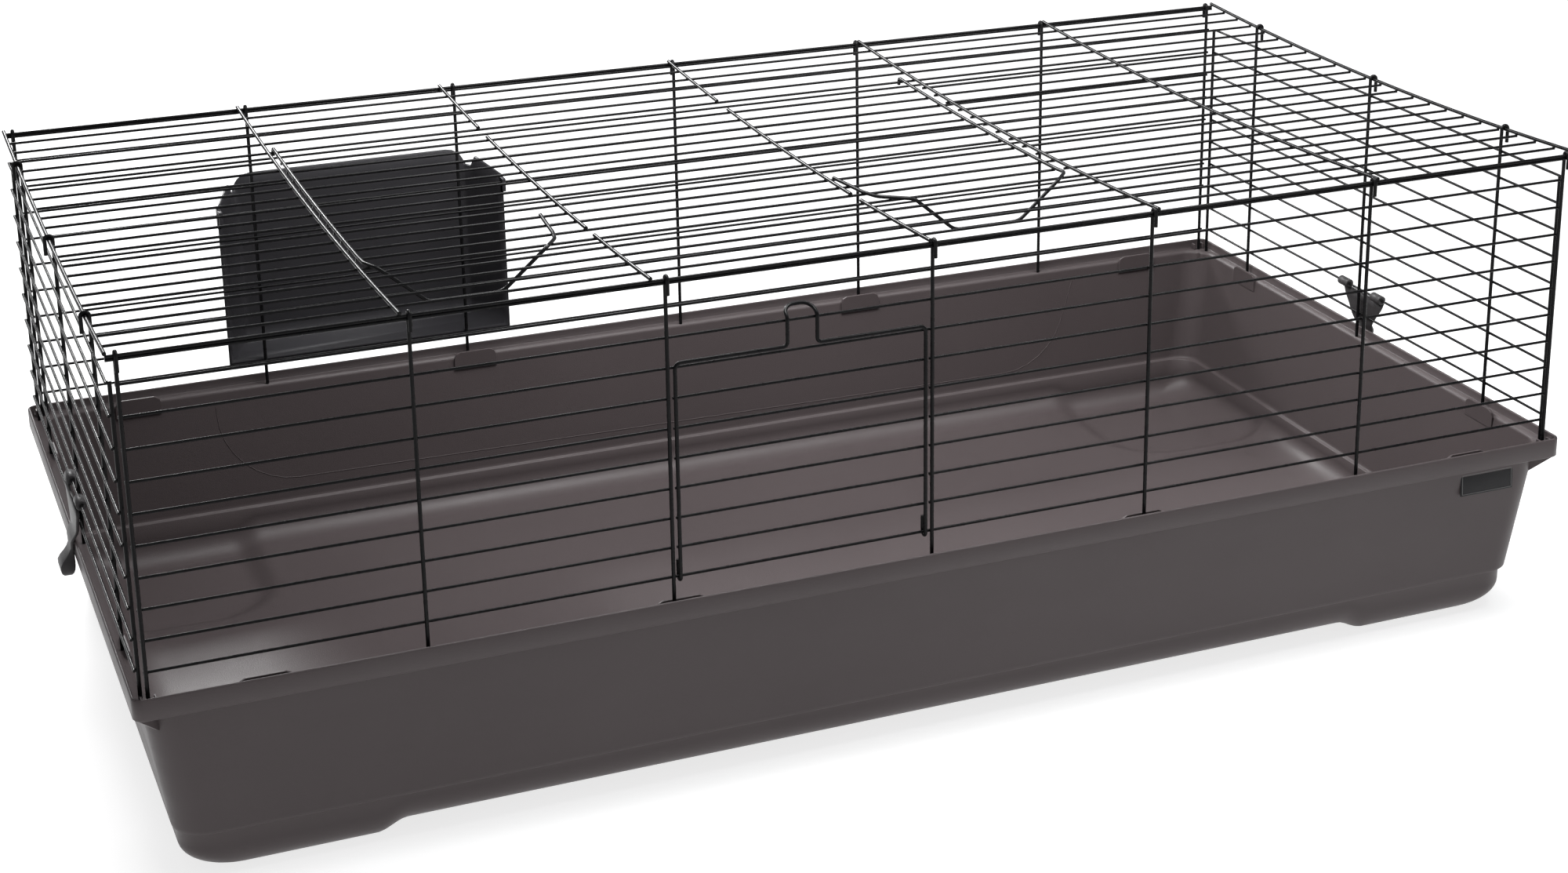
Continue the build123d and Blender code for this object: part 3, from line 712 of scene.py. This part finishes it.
def build_front(material):
    end = PANEL_X + POST
    left_end, right_end = UPRIGHTS[2] + POST, UPRIGHTS[3] - POST
    low = range(DOOR_TOP_RUNG + 1, RUNG_COUNT - 1)
    high = range(DOOR_TOP_RUNG + 1)
    wires("front_posts_left", [hooked_upright(x, FORWARD) for x in UPRIGHTS[:3]], POST, material,
          "wire_top", "front_uprights_left")
    wires("front_posts_right", [hooked_upright(x, FORWARD) for x in UPRIGHTS[3:]], POST, material,
          "wire_top", "front_uprights_right")
    wires("front_bars_left", [panel_rung(i, -end, left_end, FORWARD) for i in low], RUNG, material,
          "wire_top", "front_rungs_left")
    wires("front_bars_right", [panel_rung(i, right_end, end, FORWARD) for i in low], RUNG, material,
          "wire_top", "front_rungs_right")
    wires("front_bars_top", [panel_rung(i, -end, end, FORWARD) for i in high], RUNG, material,
          "wire_top", "front_top_rungs")
    wires("front_bar_hinge", [panel_rung(RUNG_COUNT - 1, -end, end, FORWARD)], RUNG, material,
          "wire_top", "front_hinge_rung")


def build_back(material):
    end = PANEL_X + POST
    wires("back_posts", [hooked_upright(x, BACKWARD) for x in UPRIGHTS], POST, material,
          "wire_top", "back_uprights")
    wires("back_bars", [panel_rung(i, -end, end, BACKWARD) for i in range(RUNG_COUNT)], RUNG, material,
          "wire_top", "back_rungs")


def side_upright(y, side):
    """An upright of a side panel, closed round the roof's outermost rib."""
    top = roof_z(y) + LAYER
    x = side * SIDE_POST_X
    crown = half_turn(Vector((side * (SIDE_POST_X + LOOP), y, top)), Vector((-side * LOOP, 0, 0)),
                      Vector((0, 0, LOOP)))
    return [(x, y, WIRE_FOOT), *crown, (side * (SIDE_POST_X + 2 * LOOP), y, top - LOOP_TAIL)]


def build_side(name, side, material):
    x = side * SIDE_POST_X
    posts = [side_upright(y, side) for y in SIDE_POSTS]
    for y in (-SIDE_EDGE_Y, SIDE_EDGE_Y):
        posts.append([(x, y, WIRE_FOOT), (x, y, rung_z(0) + RUNG)])
    wires(f"{name}_posts", posts, POST, material, "wire_top", f"{name}_uprights")
    end = SIDE_EDGE_Y + POST
    bars = [[(side * SIDE_RUNG_X, -end, rung_z(i)), (side * SIDE_RUNG_X, end, rung_z(i))]
            for i in range(RUNG_COUNT)]
    wires(f"{name}_bars", bars, RUNG, material, "wire_top", f"{name}_rungs")


def roof_bar(index, x_from, x_to):
    y = roof_y(index)
    return [(x_from, y, roof_z(y)), (x_to, y, roof_z(y))]


def sagging(x, y_from, y_to):
    """A rib that follows the roof's sag."""
    path = []
    for step in range(SAG_STEPS + 1):
        y = y_from + (y_to - y_from) * step / SAG_STEPS
        path.append((x, y, roof_z(y) + LAYER))
    return path


def build_roof(material):
    left, right = RIBS_LEFT[0], RIBS_RIGHT[-1]
    end = ROOF_HALF + EDGE
    over = POST + STUB_OVERHANG
    hatch_rungs = range(HATCH_FIRST, HATCH_LAST + 1)
    body = "wire_top"
    wires("roof_long_left", [sagging(x, -end, end) for x in RIBS_LEFT], POST, material, body,
          "roof_ribs_left")
    wires("roof_long_right", [sagging(x, -end, end) for x in RIBS_RIGHT], POST, material, body,
          "roof_ribs_right")
    front_end = roof_y(HATCH_FIRST - 1) + over
    back_end = roof_y(HATCH_LAST + 1) - over
    wires("roof_short_front", [sagging(x, -end, front_end) for x in STUB_RIBS], POST, material, body,
          "roof_stub_ribs_front")
    wires("roof_short_back", [sagging(x, back_end, end) for x in STUB_RIBS], POST, material, body,
          "roof_stub_ribs_back")
    wires("roof_bars_front", [roof_bar(i, left, right) for i in range(1, HATCH_FIRST)], RUNG, material,
          body, "roof_rungs_front")
    wires("roof_bars_back", [roof_bar(i, left, right) for i in range(HATCH_LAST + 1, ROOF_RUNGS - 1)],
          RUNG, material, body, "roof_rungs_back")
    wires("roof_bars_left", [roof_bar(i, left, RIBS_LEFT[1] + over) for i in hatch_rungs], RUNG,
          material, body, "roof_rungs_left")
    wires("roof_bars_right", [roof_bar(i, RIBS_RIGHT[0] - over, right) for i in hatch_rungs], RUNG,
          material, body, "roof_rungs_right")
    edges = []
    for y in (-ROOF_HALF, ROOF_HALF):
        for z in (ROOF_Z, ROOF_Z - 2 * EDGE + WELD):
            edges.append([(left, y, z), (right, y, z)])
    wires("roof_edges", edges, EDGE, material, body, "roof_edge_wires")


def top_welds(material):
    """Beads at the crossings of the fixed panels."""
    places = []
    middle_y = PANEL_Y - POST + WELD / 2
    for side in SIDES:
        for x in UPRIGHTS:
            for index in range(RUNG_COUNT):
                places.append((x, side * middle_y, rung_z(index)))
        for y in (*SIDE_POSTS, -SIDE_EDGE_Y, SIDE_EDGE_Y):
            for index in range(RUNG_COUNT):
                places.append((side * (SIDE_POST_X + POST - WELD / 2), y, rung_z(index)))
    for index in range(1, ROOF_RUNGS - 1):
        y = roof_y(index)
        ribs = [*RIBS_LEFT, *RIBS_RIGHT]
        if not HATCH_FIRST <= index <= HATCH_LAST:
            ribs += STUB_RIBS
        for x in ribs:
            place_x = x if abs(x) < PANEL_X else math.copysign(abs(x) - BEAD_SHIFT, x)
            places.append((place_x, y, roof_z(y) + RUNG - WELD / 2))
    weld_beads("top_weld_beads", places, material, "wire_top")


# ---------------------------------------------------------------- hatch
def hatch_side(x_out, middle, x_in):
    """A side wire: snap hook, straight side, the tongue that hangs in front of the pivot wire, and
    its return over the hatch's first wires."""
    y_snap = roof_y(HATCH_LAST + 1)
    z_snap = roof_z(y_snap) + RUNG + POST + PIVOT_GAP
    y_pivot = roof_y(HATCH_FIRST - 1)
    z_pivot = roof_z(y_pivot) + RUNG + POST + PIVOT_GAP
    y_front, y_back = hatch_y(HATCH_FIRST), hatch_y(HATCH_LAST)
    y_return = hatch_y(HATCH_FIRST + TONGUE_RETURN)
    y_tongue = y_pivot - TONGUE_GAP
    z_tip = z_pivot - TONGUE_DROP
    inward = 1 if x_in > x_out else -1
    points = [(x_out, y_snap + SNAP_REACH, z_snap - SNAP_DROP), (x_out, y_snap + SNAP_REACH, z_snap)]
    bends = [SNAP_BEND]
    for y in (y_back + SIDE_START, *HATCH_BOWS, y_front - SIDE_LEAD):
        points.append((x_out, y, roof_z(y) + LAYER))
        bends.append(SIDE_BEND)
    points += [
        (x_out, y_pivot + TONGUE_SET, z_pivot),
        (middle - inward * TONGUE_TOP, y_tongue, z_pivot),
        (middle - inward * TONGUE_TIP, y_tongue, z_tip),
        (middle + inward * TONGUE_TIP, y_tongue, z_tip),
        (middle + inward * TONGUE_TOP, y_tongue, z_pivot),
        (x_in - inward * TONGUE_LEAN, y_pivot + TONGUE_SET, z_pivot),
        (x_in - inward * TONGUE_SLANT, y_front - SIDE_LEAD, roof_z(y_front) + LAYER),
        (x_in, y_return - SIDE_LEAD, roof_z(y_return) + LAYER)]
    return bend(points, [*bends, *TONGUE_BENDS])


def build_hatch(material):
    for name, tongue in zip(("left", "right"), TONGUES):
        wires(f"hatch_frame_{name}", [hatch_side(*tongue)], POST, material, "roof_hatch",
              f"hatch_side_{name}")
    left, right = HATCH_SIDES
    bars, places = [], []
    for index in range(HATCH_FIRST, HATCH_LAST + 1):
        y = hatch_y(index)
        z = roof_z(y)
        bars.append([(left - POST, y, z), (right + POST, y, z)])
        for x in (*STUB_RIBS, *HATCH_SIDES):
            places.append((x, y, z + RUNG - WELD / 2))
    wires("hatch_bars", bars, RUNG, material, "roof_hatch", "hatch_rungs")
    front, back = hatch_y(HATCH_FIRST) - RIB_OVERHANG, hatch_y(HATCH_LAST) + RIB_OVERHANG
    wires("hatch_long", [sagging(x, front, back) for x in STUB_RIBS], POST, material, "roof_hatch",
          "hatch_ribs")
    weld_beads("hatch_weld_beads", places, material, "roof_hatch")


# ---------------------------------------------------------------- front door
def build_door(material):
    """The door's frame in one wire, and its rungs."""
    left, right = UPRIGHTS[2] + DOOR_GAP, UPRIGHTS[3] - DOOR_GAP
    middle = (left + right) / 2
    axis_z = rung_z(RUNG_COUNT - 1)
    front_y = -PANEL_RUNG_Y - DOOR_REACH
    back_y = -PANEL_RUNG_Y + DOOR_REACH
    bar = rung_z(DOOR_TOP_RUNG) + DOOR_BAR_RISE
    over = rung_z(DOOR_TOP_RUNG - 1) + RUNG + POST + HANDLE_CLEAR
    half, crown = HANDLE_WIDTH / 2, HANDLE_WIDTH / 2 - HANDLE_TAPER
    crown_y, crown_z = front_y + HANDLE_LEAN, bar + HANDLE_RISE
    points = [(left, front_y, axis_z), (left, front_y, bar), (middle - half, front_y, bar),
              (middle - half, front_y, over), (middle - crown, crown_y, crown_z),
              (middle + crown, crown_y, crown_z), (middle + half, front_y, over),
              (middle + half, front_y, bar), (right, front_y, bar), (right, front_y, axis_z)]
    hooks = []
    for x in (left, right):
        hook = half_turn(Vector((x, -PANEL_RUNG_Y, axis_z)), Vector((0, -DOOR_REACH, 0)),
                         Vector((0, 0, -DOOR_REACH)))
        hooks.append([*hook, Vector((x, back_y, axis_z + DOOR_TAIL))])
    path = [*hooks[0][::-1], *bend(points, DOOR_BENDS)[1:-1], *hooks[1]]
    wires("door_outline", [path], POST, material, "front_door", "door_frame")
    bars, places = [], []
    y = front_y + LAYER
    for index in range(DOOR_TOP_RUNG + 1, RUNG_COUNT - 1):
        z = rung_z(index)
        bars.append([(left - POST, y, z), (right + POST, y, z)])
        places += [(x, front_y + POST - WELD / 2, z) for x in (left, right)]
    wires("door_bars", bars, RUNG, material, "front_door", "door_rungs")
    weld_beads("door_weld_beads", places, material, "front_door")


# ---------------------------------------------------------------- clips
def clip_rows():
    """Heights down the clip with half width, inner face and thickness."""
    inner = SIDE_RUNG_X + RUNG + CLIP_GAP
    skirt = RIM_HALF[0] + CLIP_GAP
    axis = rung_z(CLIP_RUNG)
    bottom = CLIP_BOTTOM
    plate = [
        (axis - EYE_RADIUS, 33.0, inner, CLIP_THICK),
        (axis - 12.0, 29.0, inner, CLIP_THICK),
        (axis - 20.0, 22.5, inner, CLIP_THICK),
        (axis - 28.0, 17.0, inner, CLIP_THICK),
        (RIM_TOP + 6.5, 14.5, inner + 0.6, CLIP_THICK),
        (RIM_TOP + 2.0, 13.5, inner + 3.2, CLIP_THICK),
        (RIM_TOP - 1.0, 12.0, skirt, CLIP_THICK),
        (bottom + 24.0, 9.2, skirt, CLIP_THICK)]
    thumb = [
        (bottom + 20.5, 8.8, skirt, CLIP_THICK + 1.6),
        (bottom + 17.0, 9.4, skirt, CLIP_TAB_OUT - 6.0),
        (bottom + 13.5, 10.2, skirt, CLIP_TAB_OUT - 3.0),
        (bottom + 10.0, 10.5, skirt + 0.2, CLIP_TAB_OUT - 1.2),
        (bottom + 6.5, 10.2, skirt + 0.6, CLIP_TAB_OUT - 1.6),
        (bottom + 3.5, 8.8, skirt + 1.4, CLIP_TAB_OUT - 3.2),
        (bottom + 1.2, 6.4, skirt + 2.6, CLIP_TAB_OUT - 6.0),
        (bottom + 0.2, 3.6, skirt + 3.8, CLIP_TAB_OUT - 9.0)]
    return plate + thumb


def clip_section(half, thick):
    """A rounded rectangle round the clip, as (outward, along) from its inner face and its middle."""
    corner = min(1.0, thick / 2.5)
    points = []
    for along_sign, out_sign in ((1, 1), (-1, 1), (-1, -1), (1, -1)):
        for step in range(4):
            order = step if along_sign * out_sign > 0 else 3 - step
            angle = math.radians(90 * order / 3)
            along = along_sign * (half - corner + corner * math.cos(angle))
            out = thick / 2 + out_sign * (thick / 2 - corner + corner * math.sin(angle))
            points.append((out, along))
    return points


def clip_mesh(side):
    bm = bmesh.new()
    rings = []
    for z, half, inner, thick in clip_rows():
        section = clip_section(half, thick)
        rings.append(add_ring(bm, [(side * (inner + out), along, z) for out, along in section]))
    loft(bm, rings)
    bm.faces.new(rings[0])
    bm.faces.new(rings[-1])
    return bm


def eye_mesh(side):
    """Two bored barrels round the side rung, on the upper corners of the plate."""
    bm = bmesh.new()
    axis = rung_z(CLIP_RUNG)
    bore, width, outer = RUNG + HINGE_PLAY, EYE_HALF_WIDTH, EYE_RADIUS
    shoulder, edge = outer - EYE_ROUNDING, width - EYE_ROUNDING
    profile = [(bore, -width), (shoulder, -width), (outer, -edge), (outer, edge), (shoulder, width),
               (bore, width)]
    turns = [math.tau * step / EYE_STEPS for step in range(EYE_STEPS)]
    for middle in (-CLIP_EYE, CLIP_EYE):
        rings = []
        for radius, along in profile:
            ring = []
            for turn in turns:
                out = SIDE_RUNG_X + radius * math.cos(turn)
                ring.append((side * out, middle + along, axis + radius * math.sin(turn)))
            rings.append(add_ring(bm, ring))
        loft(bm, rings + rings[:1])
    return bm


def build_clip(name, side, material):
    body = f"clip_{name}"
    plate = mesh_object(f"clip_plate_{name}", clip_mesh(side), material, body)
    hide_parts(body)
    mesh_object(f"clip_eyes_{name}", eye_mesh(side), material, body)


# ---------------------------------------------------------------- hay rack
def rack_plan(inset):
    """Plan view of the walls from the left mouth round the back to the right mouth, in short runs."""
    back_y = RACK_FRONT + RACK_DEPTH - inset
    half_mouth, half_back = RACK_MOUTH / 2 - inset, RACK_BACK / 2 - inset
    corners = [(-half_mouth, RACK_FRONT, 0), (-half_back, back_y, 0), (half_back, back_y, 0),
               (half_mouth, RACK_FRONT, 0)]
    path = [(RACK_MIDDLE + x, y) for x, y, _ in bend(corners, RACK_ROUND_SIDE - inset)]
    plan = []
    for (x0, y0), (x1, y1) in zip(path, path[1:]):
        pieces = max(1, round(math.hypot(x1 - x0, y1 - y0) / RACK_SPACING))
        plan += [(x0 + (x1 - x0) * i / pieces, y0 + (y1 - y0) * i / pieces) for i in range(pieces)]
    return plan + [path[-1]]


def thinned(points, count):
    """That many of the points, evenly spread."""
    return [points[round(i * (len(points) - 1) / (count - 1))] for i in range(count)]


def rack_edge(x, y):
    """Height of the wall's upper edge: rising to the back, with rounded upper corners."""
    height = RACK_SHOULDER + (RACK_TOP - RACK_SHOULDER) * min(1, (y - RACK_FRONT) / RACK_DEPTH)
    away = abs(x - RACK_MIDDLE) - (RACK_BACK / 2 - RACK_ROUND_TOP)
    if away > 0 and y > RACK_FRONT + RACK_DEPTH - RACK_BAND:
        height -= RACK_ROUND_TOP - math.sqrt(RACK_ROUND_TOP ** 2 - min(away, RACK_ROUND_TOP) ** 2)
        height = max(height, RACK_SHOULDER)
    return height


def rack_column(outer, inner):
    """Points up the wall's outside, over its edge and down its inside."""
    (ox, oy), (ix, iy) = outer, inner
    top = rack_edge(ox, oy)
    rise = top - RACK_LIP - RACK_BOTTOM
    shares = [step / RACK_STEPS for step in range(RACK_STEPS + 1)]
    column = [(ox, oy, RACK_BOTTOM + rise * share) for share in shares]
    column += [(ox + (ix - ox) * share, oy + (iy - oy) * share, top) for share in (0.3, 0.7)]
    floor = RACK_BOTTOM + RACK_WALL
    column += [(ix, iy, floor + (rise - RACK_WALL) * share) for share in shares[::-1]]
    return column


def rack_mesh():
    """The rack's floor, its two tapering sides and its back, with its front open."""
    bm = bmesh.new()
    outer, inner = rack_plan(0), rack_plan(RACK_WALL)
    count = min(len(outer), len(inner))
    pairs = zip(thinned(outer, count), thinned(inner, count))
    columns = [add_ring(bm, rack_column(*pair)) for pair in pairs]
    for first, second in zip(columns, columns[1:]):
        for index in range(len(first) - 1):
            bm.faces.new((first[index], second[index], second[index + 1], first[index + 1]))
    left, right = columns[0], columns[-1]
    bm.faces.new([column[0] for column in columns])
    bm.faces.new([column[-1] for column in columns][::-1])
    bm.faces.new(left)
    bm.faces.new(right[::-1])
    bm.faces.new((left[0], right[0], right[-1], left[-1]))
    return bm


def rack_ears():
    """Hooks over a rung of the back panel, one at each side of the mouth."""
    bm = bmesh.new()
    rung = rung_z(RACK_RUNG)
    over = rung + RUNG + EAR_SEAT
    reach = PANEL_RUNG_Y - RUNG - EAR_CLEAR
    root = RACK_FRONT + EAR_DEPTH
    for side in SIDES:
        x = RACK_MIDDLE + side * (RACK_MOUTH / 2 - EAR_HALF)
        low_x, high_x = x - EAR_HALF, x + EAR_HALF
        rounded_box(bm, (low_x, reach - RACK_WALL, over), (high_x, root, EAR_TOP), EAR_BEVEL)
        rounded_box(bm, (low_x, reach - RACK_WALL, rung - EAR_LIP), (high_x, reach, over + 1), EAR_BEVEL)
        rounded_box(bm, (low_x, RACK_FRONT, rung - EAR_LEG), (high_x, root, over + 1), EAR_BEVEL)
    return bm


def build_rack(material):
    rack = mesh_object("hay_rack_shell", rack_mesh(), material, "hay_rack")
    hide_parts("hay_rack")
    mesh_object("hay_rack_hooks", rack_ears(), material, "hay_rack")


# ---------------------------------------------------------------- studio
def area_light(name, place, target, size, power):
    """A rectangular light aimed at a target, which the camera doesn't see."""
    data = bpy.data.lights.new(name, "AREA")
    data.shape = "RECTANGLE"
    data.size, data.size_y = size
    data.energy = power
    obj = bpy.data.objects.new(name, data)
    obj.location = place
    obj.rotation_euler = (Vector(target) - Vector(place)).to_track_quat("-Z", "Y").to_euler()
    obj.visible_camera = False
    bpy.context.collection.objects.link(obj)


def light_world(tree):
    """A white backdrop that lights the object only softly."""
    seen = tree.nodes["Background"]
    seen.inputs["Color"].default_value = WHITE
    seen.inputs["Strength"].default_value = BACKDROP_GLOW
    soft = tree.nodes.new("ShaderNodeBackground")
    soft.inputs["Color"].default_value = SOFT_COLOUR
    soft.inputs["Strength"].default_value = SOFT_LIGHT
    path = tree.nodes.new("ShaderNodeLightPath")
    mix = tree.nodes.new("ShaderNodeMixShader")
    tree.links.new(path.outputs["Is Camera Ray"], mix.inputs["Fac"])
    tree.links.new(soft.outputs["Background"], mix.inputs[1])
    tree.links.new(seen.outputs["Background"], mix.inputs[2])
    tree.links.new(mix.outputs["Shader"], tree.nodes["World Output"].inputs["Surface"])


def build_camera():
    camera = bpy.data.cameras.new("camera")
    camera.lens = CAMERA_LENS
    camera.sensor_width = CAMERA_SENSOR
    camera.shift_x, camera.shift_y = CAMERA_SHIFT
    obj = bpy.data.objects.new("camera", camera)
    obj.location = CAMERA_PLACE
    obj.rotation_euler = [math.radians(angle) for angle in CAMERA_TURN]
    bpy.context.collection.objects.link(obj)
    bpy.context.scene.camera = obj


def build_studio():
    bpy.ops.mesh.primitive_plane_add(size=STUDIO_SIZE, location=STUDIO_MIDDLE)
    floor = bpy.context.object
    floor.name = "studio_floor"
    floor.data.materials.append(floor_material())
    world = bpy.data.worlds.new("studio")
    bpy.context.scene.world = world
    world.use_nodes = True
    light_world(world.node_tree)
    for name, light in LIGHTS.items():
        area_light(name, *light)
    bpy.context.scene.view_settings.view_transform = "Standard"


def main():
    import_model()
    wire = wire_material()
    tray, clip, rack, label, border = (plastic_material(name) for name in PLASTICS)
    build_tray(tray)
    build_label(label, border)
    build_front(wire)
    build_back(wire)
    build_side("left", LEFT, wire)
    build_side("right", RIGHT, wire)
    build_roof(wire)
    top_welds(wire)
    build_hatch(wire)
    build_door(wire)
    build_clip("left", LEFT, clip)
    build_clip("right", RIGHT, clip)
    build_rack(rack)
    build_studio()
    build_camera()


main()
